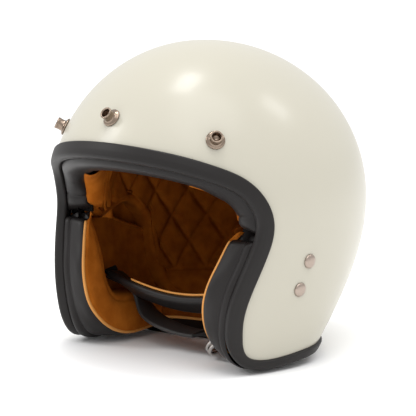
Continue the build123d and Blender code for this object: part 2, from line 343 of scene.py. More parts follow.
# sprayed enamel: smooth cream with soft broad highlights under a thin clear coat
enamel = finish("sprayed cream enamel on fibreglass", "#BAB6A8", 0.3, coat=0.12, coatRoughness=0.16,
                specular=0.25)

# moulded rubber: near black and even, with a dull shine along its bend
trimRubber = grain(finish("moulded black rubber edging", "#1B1817", 0.5, specular=0.28), 1.6, 0.05)

# drum-dyed leather: black with pores about a millimetre apart that break up its shine
blackLeather = grain(finish("fine grain black leather", "#191514", 0.46, specular=0.3), 1.3, 0.06, True)

# brushed suede: no shine, cloudy brown where the nap lies in different ways
# the nap is finer than this, and is drawn at 0.7 mm so that it shows
suede = finish("cognac suede", "#A0581A", 0.95, sheen=0.08, sheenTint="#D08840", specular=0.06)
suede = grain(mottle(suede, "#985214", "#AB611D", 12.0), 0.7, 0.12)

# the same suede inside the bowl, its colour painted darker to stand for the shade there
shadedSuede = finish("cognac suede, quilted", "#7C410F", 0.95, sheen=0.05, sheenTint="#D08840", specular=0.05)
shadedSuede = grain(mottle(shadedSuede, "#733A0C", "#874911", 12.0), 0.7, 0.12)

# waxed vegetable-tanned cord: light tan, slightly shiny
tanLeather = finish("tan leather piping", "#CF8F48", 0.6, specular=0.3)

# brushed nickel: warm grey metal with blurred reflections
nickel = grain(finish("brushed warm nickel", "#A8998E", 0.34, metallic=1.0), 0.8, 0.02)

# antiqued plating: brownish metal with clear reflections
bronzeNickel = finish("antique nickel-plated brass", "#8E7E70", 0.27, metallic=1.0)

# drawn and polished wire: bright, with sharp highlights
steel = finish("polished steel wire", "#C9C6C2", 0.18, metallic=1.0)

# plated sheet, hidden behind the foam: dull grey metal
plateSteel = finish("zinc-plated steel", "#9C9C9A", 0.4, metallic=1.0)

# nylon webbing: matt black with a rib for each weft thread
webbing = woven(finish("woven black nylon webbing", "#0E0D0D", 0.8, sheen=0.05, specular=0.2), 0.9, 0.25)

# glazed leather: charcoal with a close grain and a low shine
strapLeather = grain(finish("smooth charcoal leather", "#282524", 0.5, specular=0.35), 1.1, 0.04, True)

# steam-moulded foam: matt black, with beads of about three millimetres
foamBead = finish("moulded black expanded polystyrene", "#161413", 0.9, specular=0.15)
foamBead = grain(foamBead, 3.2, 0.15, True)
print("materials made")

# the cut edge in space, from the brow round one side to the nape and back up the other
edgeCount = 241
sideLine = spline(edgePoints, 9000)
frontReach, rearReach = reach(sideLine[:, 1])[1:]
fromCentre = sideLine[:, 0] - dome["centreY"]
onDome = np.abs(fromCentre / np.where(fromCentre < 0, frontReach, rearReach)) < 1
halfEdge = np.column_stack([sideX(sideLine[onDome, 0], sideLine[onDome, 1]), sideLine[onDome]])
halfEdge[0, 0] = halfEdge[-1, 0] = 0.0
halfEdge = resample(halfEdge, edgeCount)
edgeLoop = np.concatenate([halfEdge, halfEdge[-2:0:-1] * np.array([-1.0, 1, 1])])
edgeOut = outward(edgeLoop)
edgeTangent = unit(np.roll(edgeLoop, -1, 0) - np.roll(edgeLoop, 1, 0))
edgeTangent = unit(edgeTangent - (edgeTangent * edgeOut).sum(-1, keepdims=True) * edgeOut)
edgeOpen = unit(np.cross(edgeTangent, edgeOut))  # along the shell, into the opening


def sweepEdge(section, index):
    # edge point plus the section's first number into the opening and its second outwards
    section = np.broadcast_to(section, (len(index),) + section.shape[-2:])
    return (edgeLoop[index][:, None] + edgeOpen[index][:, None] * section[..., :1]
            + edgeOut[index][:, None] * section[..., 1:])


# outer shell: two layers joined under the trim
shellSettings = {"rings": 96, "thickness": 4.0, "poleTilt": 35.0, "tuckUnderTrim": 3.5, "middle": 128.0}
poleTilt = math.radians(shellSettings["poleTilt"])
pole = np.array([0.0, math.sin(poleTilt), math.cos(poleTilt)])
middle = np.array([0.0, 0.0, shellSettings["middle"]])


def toDome(directions, depth):
    # where rays from the middle meet the layer, found by halving the distance 34 times
    near = np.zeros(directions.shape[:-1])
    far = np.full(directions.shape[:-1], 260.0)
    for _ in range(34):
        half = (near + far) / 2
        p = middle + directions * half[..., None]
        within = (domeLevel(p, depth) < 1) & (p[..., 2] < dome["crown"] - depth)
        near, far = np.where(within, half, near), np.where(within, far, half)
    return middle + directions * near[..., None]


def shellLayer(depth, rim):
    # rays turned from each rim point to the pole: cosine times the pole plus sine times the rim's side
    rimDirection = unit(rim - middle)
    angle = np.arccos(np.clip(rimDirection @ pole, -1, 1))
    side = unit(rimDirection - (rimDirection @ pole)[:, None] * pole)
    a = angle[None] * (1 - np.linspace(0, 1, shellSettings["rings"])[:, None])
    directions = np.cos(a)[..., None] * pole + np.sin(a)[..., None] * side[None]
    return toDome(directions[:-1], depth)


rim = edgeLoop - edgeOpen * shellSettings["tuckUnderTrim"]
outerLayer = shellLayer(0.0, rim)
innerLayer = shellLayer(shellSettings["thickness"], rim)
poles = [toDome(pole[None], depth)[0] for depth in (0.0, shellSettings["thickness"])]
shellPoints = np.concatenate([outerLayer.reshape(-1, 3), innerLayer.reshape(-1, 3), poles])
rings, around = outerLayer.shape[:2]
layerSize = rings * around
topRow = (rings - 1) * around
outerFaces = gridFaces(rings, around, False, True)
innerFaces = outerFaces[:, ::-1] + layerSize
j = np.arange(around)
nextOne = (j + 1) % around
rimFaces = np.stack([nextOne, j, j + layerSize, nextOne + layerSize], -1)
fans = fanFaces(topRow, around, 2 * layerSize)
fans += [(b, a, hub) for a, b, hub in fanFaces(layerSize + topRow, around, 2 * layerSize + 1)]
shellFaces = [*outerFaces.tolist(), *innerFaces.tolist(), *rimFaces.tolist(), *fans]
shellObject = makeMesh("shell", shellPoints, shellFaces, "helmet", enamel)
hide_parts("outer_shell")
print("shell", len(shellObject.data.polygons))

# edge trim, a rounded channel over the cut edge
trimSettings = {"proud": 2.8, "grip": 9.6, "lip": 3.3, "inside": 7.0, "jawLip": 2.6, "jawGrip": 1.4}
proud, grip, lip, deep = (trimSettings[k] for k in ("proud", "grip", "lip", "inside"))


def rounded(corners, radii, steps=7):
    # polygon with each corner an arc, centred on the bisector at radius over the sine of half the angle
    pts = []
    c = np.asarray(corners, float)
    for i, radius in enumerate(radii):
        before, b, after = c[i - 1], c[i], c[(i + 1) % len(c)]
        u = unit(before - b)
        v = unit(after - b)
        half = math.acos(float(np.clip(u @ v, -1, 1))) / 2
        run = radius / math.tan(half)
        centre = b + unit(u + v) * radius / math.sin(half)
        first = b + u * run - centre
        last = b + v * run - centre
        sweep = math.atan2(first[0] * last[1] - first[1] * last[0], float(first @ last))
        for s in np.linspace(0, sweep, steps):
            pts.append(centre + [first[0] * math.cos(s) - first[1] * math.sin(s),
                                 first[0] * math.sin(s) + first[1] * math.cos(s)])
    return np.array(pts)


trimSection = rounded([(-grip, -0.1), (-grip, proud * 0.86), (-3.2, proud), (lip, proud - 0.4), (lip, -deep),
                       (-grip + 1, -deep), (-grip + 1, -4.2), (-0.6, -4.2), (-0.6, -0.1)],
                      [0.05, 1.5, 9.0, 3.4, 2.8, 1.0, 0.3, 0.3, 0.3])
jaw = (1 - smooth((edgeLoop[:, 2] - 6) / 30)) * (1 - smooth((edgeLoop[:, 1] - 30) / 50))  # 1 under the jaw
fitted = np.broadcast_to(trimSection, (len(edgeLoop),) + trimSection.shape).copy()
fitted[..., 0] -= trimSettings["jawLip"] * jaw[:, None] * smooth((trimSection[None, :, 0] + 3) / 5)
fitted[..., 0] += trimSettings["jawGrip"] * jaw[:, None] * smooth((-6 - trimSection[None, :, 0]) / 3)
trimPoints = sweepEdge(fitted, np.arange(len(edgeLoop)))
trimPoints[..., 2] = np.maximum(trimPoints[..., 2], 0.0)  # rests flat on the floor
trimObject = grid("edgeTrim", trimPoints, "helmet", trimRubber, True, True, flip=True)
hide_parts("edge_trim")
print("trim", len(trimObject.data.polygons))

# these keep their CAD shape and get a finish
keptNodes = {"crown_foam": foamBead, "side_foam_left": foamBead, "side_foam_right": foamBead,
             "anchor_plate_left": plateSteel, "anchor_plate_right": plateSteel, "stud_washers": plateSteel,
             "d_ring_inner": steel, "d_ring_outer": steel,
             "strap_root_left": webbing, "strap_root_right": webbing}
for nodeName, material in keptNodes.items():
    node = frame["nodes"][nodeName]
    node.data.materials.clear()
    node.data.materials.append(material)

# quilted liner, sewn in diamonds above a plain band
linerSettings = {"depth": 36.2, "diamondWide": 33.0, "diamondHigh": 46.0, "puff": 3.7, "seam": 2.3,
                 "band": 52.0, "bandSeam": 2.0, "hem": 1.6, "wrinkle": 0.35, "meanRay": 96.0,
                 "crownArc": 95.0, "around": 420, "rings": 200}
earPoints = [(-110, 105), (-77.4, 106), (-60, 106.5), (-44.8, 109), (-27.3, 114), (-16.5, 115.5), (-7, 113),
             (2, 105), (8, 97), (10.2, 88), (10.8, 78), (11.4, 64), (13.4, 46), (20, 32), (40, 26), (110, 25)]


def linerFoot(turn):
    # lowest height of the liner at each bearing from the front: just inside the brow, then the ear arch
    side = spline(earPoints, 3000)
    x = sideX(side[:, 0], side[:, 1], linerSettings["depth"])
    keep = x > 0.5
    sideBearing = np.arctan2(x[keep], -(side[keep, 0] - dome["centreY"]))
    back = 2.2 + 3.8 * smooth((halfEdge[:, 2:] - 140) / 14)
    brow = halfEdge - edgeOpen[:edgeCount] * back - edgeOut[:edgeCount] * linerSettings["depth"]
    brow = brow[(brow[:, 2] > 108) & (brow[:, 1] < -40)]
    browBearing = np.arctan2(brow[:, 0], -(brow[:, 1] - dome["centreY"]))
    behind = sideBearing > browBearing.max()
    bearing = np.concatenate([browBearing, sideBearing[behind]])
    level = np.concatenate([brow[:, 2], side[keep, 1][behind]])
    order = np.argsort(bearing)
    return np.interp(turn, bearing[order], level[order])


# heights run from the foot to the crown, as a sine above the widest level
turn = np.linspace(-math.pi, math.pi, linerSettings["around"], endpoint=False)
foot = linerFoot(np.abs(turn))
t = np.linspace(0, 1, linerSettings["rings"])[:, None]
lowShare = 0.45  # share of the rings below the widest level
rise = dome["crown"] - linerSettings["depth"] - 0.4 - dome["widest"]
lowAngle = np.arcsin(np.clip((foot - dome["widest"]) / rise, -1, 1))
lowPart = foot + (dome["widest"] - foot) * t / lowShare
highPart = dome["widest"] + rise * np.sin((t - lowShare) / (1 - lowShare) * math.pi / 2)
browPart = dome["widest"] + rise * np.sin(lowAngle + (math.pi / 2 - lowAngle) * t)
height = np.where(foot < dome["widest"], np.where(t < lowShare, lowPart, highPart), browPart)
heading = np.broadcast_to(turn, height.shape)
side, front, rear = reach(height, linerSettings["depth"])
along = np.where(np.cos(heading) > 0, front, rear)
sideShare = np.sin(heading) / np.maximum(side, 1e-3)
alongShare = np.cos(heading) / np.maximum(along, 1e-3)
ray = 1 / np.sqrt(sideShare ** 2 + alongShare ** 2)
linerPoints = np.stack([ray * np.sin(heading), dome["centreY"] - ray * np.cos(heading), height], -1)
inward = -outward(linerPoints, linerSettings["depth"])

# diamonds: distance to the nearest whole number of across plus up and across less up, then a rise
# from each seam
across = (np.abs(heading) - math.pi) * linerSettings["meanRay"]
overWidest = np.clip((height - dome["widest"]) / linerSettings["meanRay"], -1, 1)
overCrown = dome["widest"] + linerSettings["crownArc"] * np.arcsin(overWidest)
up = np.where(height > dome["widest"], overCrown, height)
acrossShare = across / linerSettings["diamondWide"]
upShare = (up - linerSettings["band"]) / linerSettings["diamondHigh"]
d1 = np.abs(acrossShare + upShare - np.round(acrossShare + upShare))
d2 = np.abs(acrossShare - upShare - np.round(acrossShare - upShare))
near = np.minimum(d1, d2) * 27
puff = 1 - np.exp(-(near / linerSettings["seam"]) ** 1.25)
puff = puff * (0.75 + 0.25 * np.clip(16 * d1 * d2, 0, 1))
fromBand = np.abs(height - linerSettings["band"]) / linerSettings["bandSeam"]
puff = np.where(height < linerSettings["band"], 0.8, puff) * (1 - np.exp(-fromBand ** 1.3))
rimFade = smooth((height - foot) / 7.0)
hem = linerSettings["hem"] * np.exp(-((height - foot - 4.0) / 2.6) ** 2) * (foot > 60)
wrinkle = np.sin(across / 7.1 + 2 * np.sin(height / 13)) * np.sin(height / 9.3 + 1.3)
lift = linerSettings["puff"] * puff * rimFade + hem + linerSettings["wrinkle"] * wrinkle * rimFade
linerPoints = linerPoints + inward * lift[..., None]
foldBack = np.array([15.0, 8.0, 3.0, 1.0])[:, None, None]  # edge folded behind, out to the foam
turnedBack = linerPoints[:1] - inward[:1] * foldBack - np.array([0, 0, 0.8])
linerPoints = np.concatenate([turnedBack, linerPoints])
# the liner takes the suede painted darker as shade
linerObject = grid("quiltedLiner", linerPoints, "helmet", shadedSuede, False, True, flip=True)
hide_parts("quilted_liner")
print("liner", len(linerObject.data.polygons))

# rolled suede edges of the liner, at the temples and round the ears, as (offset, depth) across the roll
rollSettings = {"lowest": 107.0, "highest": 170.0, "frontY": -112.0, "fade": 14.0, "backY": -60.0,
                "arch": [(0.2, 14), (0.8, 24), (1.0, 31), (0.9, 35), (0.2, 37.8), (-1.4, 39.4), (-3.2, 39.7),
                         (-5.2, 38.9), (-6.8, 37.2), (-7.8, 35)]}
frontSection = spline([(1, -20), (5.0, -24), (7.0, -28), (6.4, -32), (3.0, -36.4), (-3.5, -39.4),
                       (-11, -40.4), (-18, -39.4), (-24, -35)], 40)
onRoll = (halfEdge[:, 2] > rollSettings["lowest"]) & (halfEdge[:, 2] < rollSettings["highest"])
rollIndex = np.where(onRoll & (halfEdge[:, 1] > rollSettings["frontY"]))[0]
rollRun = lengthAlong(halfEdge[rollIndex])
rollEnd = smooth((rollRun[-1] - rollRun) / rollSettings["fade"])[:, None]
rollSections = np.broadcast_to(frontSection, (len(rollIndex),) + frontSection.shape).copy()
rollSections[..., 0] = -24 + (rollSections[..., 0] + 24) * (0.35 + 0.65 * rollEnd)
frontRoll = sweepEdge(rollSections, rollIndex)
archLine = spline(earPoints[1:], 500)
archWay = unit(np.gradient(archLine, axis=0))
archWay = np.column_stack([archWay[:, 1], -archWay[:, 0]])
archRows = []
for offset, depth in rollSettings["arch"]:
    line = archLine + archWay * offset
    archRows.append(np.column_stack([sideX(line[:, 0], line[:, 1], depth), line]))
archRoll = np.stack(archRows, 1)
archRoll = archRoll[(archRoll[:, 7, 0] > 30) & (archRoll[:, 7, 1] > rollSettings["backY"])]
for sign, word in bothSides:
    mirror = np.array([sign, 1, 1.0])
    templeRoll = grid("templeRoll" + word, frontRoll * mirror, "helmet", suede, flip=sign > 0)
    # the ear rolls take the suede painted darker as shade, the temple rolls the plain suede
    earRoll = grid("earRoll" + word, archRoll * mirror, "helmet", shadedSuede, flip=sign > 0)

# brow lining, a padded leather band under the trim that changes section towards the temples
browSettings = {"lowestEnd": 111.5, "templeFrom": 76.0, "templeRun": 26.0, "endRound": 9.0, "seamAt": 17.0,
                "seamDepth": 1.5, "seamWidth": 1.3}
lineSection = spline([(-8, -7.2), (0.5, -7.0), (5.6, -9.0), (7.6, -14.5), (7.4, -22), (5.4, -29.5),
                      (0.5, -34.0), (-6, -36.2), (-13, -36.8)], 44)
templeSection = spline([(-8, -7.2), (0.5, -7.0), (5.2, -9.2), (8.4, -14), (9.4, -20), (8.6, -25),
                        (4.5, -28.2), (-2, -29.2), (-13, -29.4)], 44)
endIndex = int(np.argmax((halfEdge[:, 2] < browSettings["lowestEnd"]) & (halfEdge[:, 1] > -90)))
browIndex = np.concatenate([np.arange(len(edgeLoop) - endIndex, len(edgeLoop)), np.arange(0, endIndex + 1)])
steps = np.arange(len(browIndex))
fromEnd = np.minimum(steps, steps[::-1]) * lengthAlong(halfEdge)[1]
toTemple = smooth((browSettings["templeFrom"] - fromEnd) / browSettings["templeRun"])[:, None, None]
sections = lineSection * (1 - toTemple) + templeSection * toTemple
capRound = 0.15 + 0.85 * quarterRound(fromEnd / browSettings["endRound"])[:, None]
sections[..., 0] = np.where(sections[..., 0] > -6, (sections[..., 0] + 6) * capRound - 6, sections[..., 0])
fromSeam = (fromEnd - browSettings["seamAt"]) / browSettings["seamWidth"]
crease = browSettings["seamDepth"] * np.exp(-fromSeam ** 2)
sections[..., 0] -= crease[:, None] * (lineSection[None, :, 0] > -3)
browObject = grid("browLining", sweepEdge(sections, browIndex), "helmet", blackLeather, flip=True)
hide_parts("brow_lining")
print("brow lining", len(browObject.data.polygons))

# cheek pads: leather front, tan piping, suede face with a heel under the ear
padSettings = {"piping": 1.35, "roll": 3.2, "bulge": 3.0, "facePuff": 3.2, "rearRadius": 6.0, "ripple": 0.25,
               "drape": 0.35, "topRound": 5.0, "seatIn": 1.2, "seatDepth": 6.8, "bearings": (58, -131, 150)}
pipingPoints = [(86, -60, 112.5), (83.3, -67.4, 110.5), (80.6, -71.3, 105.8), (77, -76.5, 95),
                (73.6, -80.9, 84.2), (69, -86.3, 68.6), (65.9, -87.5, 53.3), (64.2, -83.8, 38.2),
                (62.3, -74.9, 25.3), (61, -62, 15), (60.5, -50, 10), (61.5, -34, 7.6), (63, -16, 8.2),
                (65, 6, 10)]
rearPoints = [(84, -58, 108.5), (80, -61.5, 104), (76, -61.3, 97), (73, -59.5, 85), (70, -58.3, 73),
              (68, -58.6, 63), (66, -55.5, 50), (65.5, -48, 42), (65.5, -36, 40.4), (66, -20, 40),
              (67, -6, 39.6), (68, 6, 38.5)]


def byBearing(path, bearings, centre=(-40, 58)):
    # points of a path at given bearings round a centre, seen from the side
    a = np.unwrap(np.arctan2(path[:, 2] - centre[1], -(path[:, 1] - centre[0])))
    order = np.argsort(a)
    return np.stack([np.interp(bearings, a[order], path[order, k]) for k in range(3)], -1)


def padFront(outer, cord, run, fade):
    # straight from the trim to the piping, lifted by the larger of a narrow half round and a wide one
    v = np.linspace(0, 1, 40)[None, :, None]
    bulgeWay = unit(np.cross(unit(cord - outer), unit(np.gradient((outer + cord) / 2, axis=0))))
    bulgeWay = bulgeWay * np.sign((bulgeWay * np.array([0, -1.0, -0.35])).sum(-1))[:, None]
    roll = padSettings["roll"] * np.sqrt(np.clip(1 - ((v - 0.15) / 0.17) ** 2, 0, 1))
    main = padSettings["bulge"] * np.sqrt(np.clip(1 - (np.abs(v - 0.64) / 0.37) ** 2.6, 0, 1))
    ripple = padSettings["ripple"] * np.sin(run / 6.3 + 1.2)[:, None, None] * np.sin(v * 9)
    lift = (np.maximum(roll, main) + ripple) * fade
    return outer[:, None] + (cord - outer)[:, None] * v + bulgeWay[:, None] * lift


def padFace(cord, run, fade):
    # from the piping to the rear line with a flat-topped puff, a quarter circle round the heel, then out
    rear = resample(spline(rearPoints, 600), len(cord))
    rearRun = lengthAlong(rear)
    guide = np.interp(run / run[-1], [0, 0.06, 0.38, 0.5, 0.58, 1.0], [0, 0.04, 0.42, 0.5, 0.56, 1.0])
    rear = np.stack([np.interp(guide * rearRun[-1], rearRun, rear[:, k]) for k in range(3)], -1)
    way = unit(np.gradient(rear[:, 1:], axis=0))
    normal = np.stack([np.zeros(len(way)), -way[:, 1], way[:, 0]], -1)
    r = padSettings["rearRadius"]
    faceEnd = rear - normal * r
    v = np.linspace(0, 1, 34)[None, :, None]
    puff = padSettings["facePuff"] * np.sqrt(np.clip(1 - np.abs(2 * v - 1) ** 3.0, 0, 1))
    drape = padSettings["drape"] * np.sin(run / 9.0)[:, None, None] * np.sin(v * 7)
    face = cord[:, None] + (faceEnd - cord)[:, None] * v - np.array([1.0, 0, 0]) * (puff + drape) * fade
    arc = np.radians(np.linspace(8, 90, 12))[None, :, None]
    outwards = np.array([1.0, 0, 0])
    rounding = faceEnd[:, None] + normal[:, None] * r * np.sin(arc) + outwards * r * (1 - np.cos(arc))
    wall = rounding[:, -1:] + outwards * np.linspace(3, 24, 6)[None, :, None]
    return np.concatenate([face, rounding, wall], 1)


def cheekPad(sign, word):
    # front and face share the piping line; both ends are closed round the middle of their outline
    keep = (halfEdge[:, 2] < 118) & (halfEdge[:, 1] < 20)
    seat = (halfEdge[keep] + edgeOpen[:edgeCount][keep] * padSettings["seatIn"]
            - edgeOut[:edgeCount][keep] * padSettings["seatDepth"])
    bearings = np.radians(np.linspace(*padSettings["bearings"]))
    cord = byBearing(spline(pipingPoints, 600), bearings)
    run = lengthAlong(cord)
    fade = quarterRound(run / 7.0)[:, None, None]
    backRun = padSettings["topRound"] * (1 - quarterRound(run / padSettings["topRound"]))[:, None, None]
    front = padFront(byBearing(seat, bearings), cord, run, fade) + np.array([0, 1.0, -0.25]) * backRun
    face = padFace(cord, run, fade) + np.array([0, 0.4, -0.6]) * backRun
    cord = cord + np.array([0, 0.8, -0.3]) * backRun[:, 0]
    top = np.concatenate([front[0], face[0][1:]])
    count = len(top)
    hub = top.mean(0) + np.array([0, 0, 2.0])
    ringIn = top + (hub - top) * 0.35 + np.array([0, 0.6, 2.4])
    topPoints = np.concatenate([top, ringIn, [hub + np.array([0, 0, 1.5])]])
    topFaces = gridFaces(2, count, False, True).tolist() + fanFaces(count, count, 2 * count)
    end = np.concatenate([front[-1], face[-1][1:]])
    endPoints = np.concatenate([end, [end.mean(0) + np.array([0, 3.0, 0])]])
    flip = sign < 0
    mirror = np.array([sign, 1, 1.0])
    leather = grid("cheekFront" + word, front * mirror, "helmet", blackLeather, flip=flip)
    uvRun = np.stack(np.broadcast_arrays(run[:, None], np.arange(face.shape[1])[None] * 1.0), -1) * mm
    body = grid("cheekPad" + word, face * mirror, "helmet", suede, flip=flip, uv=uvRun)
    topCap = makeMesh("cheekTop" + word, topPoints * mirror, topFaces, "helmet", blackLeather, flip=not flip)
    endFaces = fanFaces(0, len(end), len(end))
    endCap = makeMesh("cheekEnd" + word, endPoints * mirror, endFaces, "helmet", suede, flip=flip)
    pipingPath = (cord + np.array([-0.5, 0, 0]))[2:] * mirror
    piping = tube("cheekPiping" + word, pipingPath, padSettings["piping"], "helmet", tanLeather)
    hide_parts("cheek_front_" + word.lower())
    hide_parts("cheek_pad_" + word.lower())
    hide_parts("cheek_piping_" + word.lower())


for sign, word in bothSides:
    cheekPad(sign, word)
print("cheek pads made")

# ear panels: a deep suede recess, the slack pocket in front of it, and the dark lining at the temple
earSettings = {"recess": 21.0, "pocket": 27.5, "slack": 2.2, "fold": 0.5, "hemRadius": 1.5,
               "hemHeight": 105.7, "hemSlope": -0.405, "pipingRadius": 1.0, "pipingOut": 8.2,
               "liningDepth": 18.6}


def earPanel(sign, word):
    # each surface is sideX over a grid of (y, z); the pocket comes in by slack, a half wave both ways
    mirror = np.array([sign, 1, 1.0])
    y = np.linspace(-60, 30, 60)
    yy, zz = np.meshgrid(y, np.linspace(34, 128, 60), indexing="ij")
    recessPoints = np.stack([sideX(yy, zz, earSettings["recess"]), yy, zz], -1)
    # the recess, pocket, hem and piping take the suede painted darker as shade
    recess = grid("earRecess" + word, recessPoints * mirror, "helmet", shadedSuede, flip=sign > 0)
    hemLevel = earSettings["hemHeight"] + earSettings["hemSlope"] * (y + 36.6)
    v = np.linspace(0, 1, 50)[None]
    zz = 36 + (hemLevel[:, None] - 36) * v
    yy = np.broadcast_to(y[:, None], zz.shape)
    fromFront = np.clip((yy + 60) / 74, 0, 1)
    slack = earSettings["slack"] * np.sin(math.pi * fromFront) * np.sin(math.pi * v ** 0.8)
    folds = earSettings["fold"] * np.sin(yy / 6.0 + 0.8) * v ** 3
    pocketPoints = np.stack([sideX(yy, zz, earSettings["pocket"]) - slack - folds, yy, zz], -1)
    pocket = grid("earPocket" + word, pocketPoints * mirror, "helmet", shadedSuede, flip=sign > 0)
    hemPath = pocketPoints[:, -1] + np.array([-0.8, 0, 0])
    hem = tube("earHem" + word, hemPath * mirror, earSettings["hemRadius"], "helmet", shadedSuede)
    line = spline(earPoints[1:15], 300)
    way = unit(np.gradient(line, axis=0))
    line = line + np.column_stack([-way[:, 1], way[:, 0]]) * earSettings["pipingOut"]
    line = line[line[:, 0] > -50]
    cordPath = np.column_stack([sideX(line[:, 0], line[:, 1], linerSettings["depth"] + 0.6), line])
    piping = tube("earPiping" + word, cordPath * mirror, earSettings["pipingRadius"], "helmet", shadedSuede)
    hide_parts("ear_panel_" + word.lower())
    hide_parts("ear_piping_" + word.lower())
    levels = np.linspace(86, 152, 30)
    edgeY = np.interp(levels, halfEdge[::-1, 2], halfEdge[::-1, 1])
    yy = edgeY[None] + 2.5 + (-38 - edgeY[None]) * np.linspace(0, 1, 24)[:, None]
    zz = np.broadcast_to(levels[None], yy.shape)
    liningPoints = np.stack([sideX(yy, zz, earSettings["liningDepth"]), yy, zz], -1)
    lining = grid("templeLining" + word, liningPoints * mirror, "helmet", blackLeather, flip=sign > 0)


for sign, word in bothSides:
    earPanel(sign, word)

# neck roll round the nape, leather below its piping and suede above
neckSettings = {"pipingHeight": 13.5, "pipingDepth": 31.6, "pipingRadius": 1.35, "pipingSpan": 62,
                "startY": 3.0, "columns": 110}


def neckSurface(section):
    # each (depth, height) of the section follows its own layer: side times the sine, rear times the cosine
    depth = section[:, 0][None]
    z = section[:, 1][None]
    side, rear = reach(z, depth)[::2]
    limit = np.arccos(np.clip((neckSettings["startY"] - dome["centreY"]) / rear, -1, 1))
    t = np.linspace(-1, 1, neckSettings["columns"])[:, None]
    return np.stack([side * np.sin(t * limit), dome["centreY"] + rear * np.cos(t * limit),
                     np.broadcast_to(z, (len(t), z.shape[1]))], -1)


leatherSection = spline([(9, 8), (9.5, 3), (13, 0.6), (20, 0.3), (26, 0.8), (30.5, 4), (32.2, 8.5),
                         (31.4, 13.2)], 30)
suedeSection = spline([(31.4, 13.2), (32.6, 17.5), (31.4, 22.5), (27, 25.6), (20, 26.2), (12, 26.2)], 26)
neckLeather = grid("neckRollLeather", neckSurface(leatherSection), "helmet", blackLeather)
# the suede above the piping is painted darker as shade
neckSuede = grid("neckRollSuede", neckSurface(suedeSection), "helmet", shadedSuede)
side, rear = reach(neckSettings["pipingHeight"], neckSettings["pipingDepth"])[::2]
half = neckSettings["pipingSpan"]
span = np.radians(np.linspace(-half, half, neckSettings["columns"]))
napePath = np.column_stack([(side - 0.6) * np.sin(span), dome["centreY"] + (rear - 1.2) * np.cos(span),
                            np.full(len(span), neckSettings["pipingHeight"])])
neckPiping = tube("neckPiping", napePath, neckSettings["pipingRadius"], "helmet", tanLeather)
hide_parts("neck_roll")
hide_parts("neck_piping")
print("ear panels and neck roll made")

# rivets and visor studs, turned profiles of (radius, height)
rivetSettings = {"places": ((-26.3, 87.9), (-33.9, 66.0)),
                 "profile": [(0.01, 2.75), (1.6, 2.7), (3.2, 2.45), (4.6, 1.95), (5.4, 1.35), (5.75, 0.8),
                             (5.75, 0.3), (5.4, 0.05), (2.4, 0.0), (2.4, -6)]}
studSettings = {"places": ((0.0, 199.2), (47.6, 185.0), (-47.6, 185.0)), "sides": 56,
                "profile": [(7.2, 0.1), (7.5, 0.5), (7.45, 1.0), (6.8, 1.55), (5.9, 1.95), (5.2, 2.3),
                            (4.75, 2.9), (4.6, 4.5), (4.65, 6.4), (4.85, 7.3), (4.95, 8.0), (4.85, 8.6),
                            (4.5, 8.9), (4.0, 8.9), (3.6, 8.6), (3.4, 8.0), (3.2, 7.0), (3.1, 3.6),
                            (2.9, 3.1), (0.01, 3.0)]}
rivets = []
for y, z in rivetSettings["places"]:
    for sign in (1, -1):
        mirror = np.array([sign, 1, 1.0])
        spot = np.array([float(sideX(y, z)), y, z])
        way = outward(spot[None])[0]
        rivets.append(lathe(f"rivet{len(rivets)}", rivetSettings["profile"], spot * mirror, way * mirror,
                            "helmet", nickel))
studs = []
for bearing, z in studSettings["places"]:
    side, front = reach(z)[:2]
    turned = math.radians(bearing)
    spot = np.array([side * math.sin(turned), dome["centreY"] - front * math.cos(turned), z])
    studs.append(lathe(f"visorStud{len(studs)}", studSettings["profile"], spot, outward(spot[None])[0],
                       "helmet", bronzeNickel, studSettings["sides"]))
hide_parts("shell_rivets")
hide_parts("visor_studs")

# chin strap: a padded sleeve with a tan facing, and webbing out to the roots
strapSettings = {"y": -40.0, "sleeveWidth": 22.0, "sleeveThick": 6.4, "facingWidth": 22.6, "facingThick": 1.6,
                 "facingHalf": 51.0, "webThick": 1.8, "webEdge": 0.06, "throatWidth": 21.0,
                 "throatThick": 3.0, "loopBore": 1.95, "loopReach": 1.85, "loopHalf": 10.0, "ringSlope": 45.0}
webThick, webEdge = strapSettings["webThick"], strapSettings["webEdge"]


def atStrap(points, count):
    # spline of (x, z) in the strap's plane
    p = spline(points, count)
    return np.column_stack([p[:, 0], np.full(count, strapSettings["y"]), p[:, 1]])


sleevePath = atStrap([(-77, 57), (-60, 51), (-40, 46.5), (-12, 43), (12, 43), (40, 46.5), (60, 51),
                      (77, 57)], 140)
zero = np.zeros(len(sleevePath))
lean = np.radians(-12 - 26 * smooth((78 - np.abs(sleevePath[:, 0])) / 26))
forward = -4 * smooth((74 - np.abs(sleevePath[:, 0])) / 20)
sleevePath += np.column_stack([zero, forward, zero - 1.4])
middlePart = np.abs(sleevePath[:, 0]) < strapSettings["facingHalf"]
facingPath = (sleevePath + np.column_stack([zero, -np.sin(lean), np.cos(lean)]) * 3.9)[middlePart]
sleeve = ribbon("chinSleeve", sleevePath, strapSettings["sleeveWidth"], strapSettings["sleeveThick"],
                "chin_strap", blackLeather, lean, edge=0.35, across=24, crown=0.5)
facing = ribbon("chinFacing", facingPath, strapSettings["facingWidth"], strapSettings["facingThick"],
                "chin_strap", tanLeather, lean[middlePart], edge=0.08, across=24)
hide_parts("chin_sleeve")
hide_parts("chin_facing")
for sign, word in bothSides:
    endPath = atStrap([(74.5, 53.4), (79, 55.2), (84.2, 57.0)], 16) * np.array([sign, 1, 1.0])
    piece = ribbon("chinWebbing" + word, endPath, 16.0, webThick, "chin_strap", webbing,
                   np.full(16, math.radians(-14)), edge=webEdge)
    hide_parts("chin_webbing_" + word.lower())

